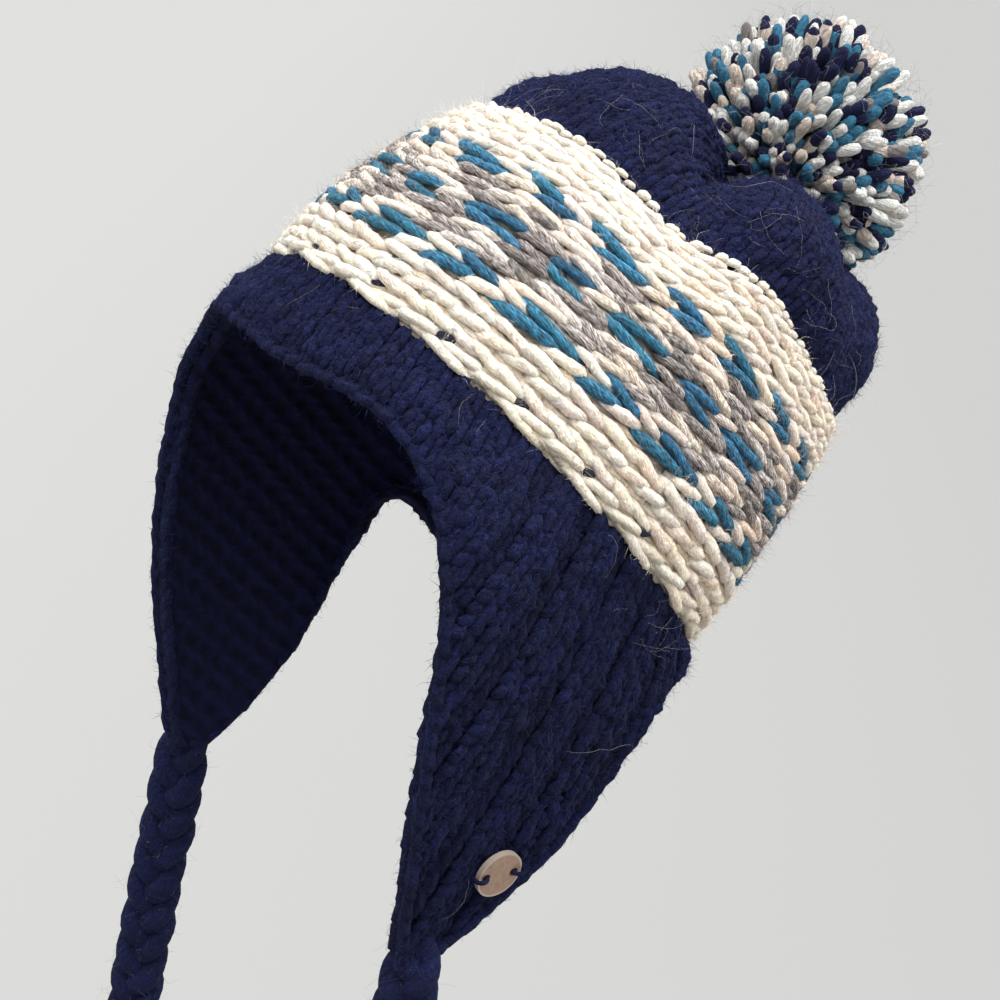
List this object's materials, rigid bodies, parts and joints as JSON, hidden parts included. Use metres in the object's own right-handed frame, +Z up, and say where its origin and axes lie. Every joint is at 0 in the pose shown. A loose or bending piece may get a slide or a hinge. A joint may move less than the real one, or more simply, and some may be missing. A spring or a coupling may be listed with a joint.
{
  "type": "knitted earflap hat",
  "caption": "Bulky knitted navy earflap hat with a cream and teal colourwork band, a yarn pompom, braided ties and a trim disc.",
  "frame": {"origin": "Centre of the head hollow, in the plane of the band's lower edge, where the head sits.", "axes": "+Z up as worn, -Y out of the face opening, +X to the wearer's left."},
  "size_m": [0.1714, 0.2345, 0.5523],
  "materials": {
    "navy_knit": "fuzzy bulky wool stockinette, navy",
    "band_knit": "bulky wool colourwork in cream, grey marl and teal",
    "pompom_yarn": "cut yarn ends in cream, navy, teal and grey",
    "navy_braid": "fuzzy braided wool, navy",
    "trim_disc": "brushed brown metal with a pale rim",
    "navy_thread": "navy yarn"
  },
  "bodies": {
    "root": {"crown": "navy_knit", "band": "band_knit", "earflaps": "navy_knit", "pompom": "pompom_yarn", "left_braid": "navy_braid", "right_braid": "navy_braid", "left_braid_end": "navy_braid", "right_braid_end": "navy_braid", "button": "trim_disc", "button_thread_1": "navy_thread", "button_thread_2": "navy_thread"}
  },
  "joints": []
}
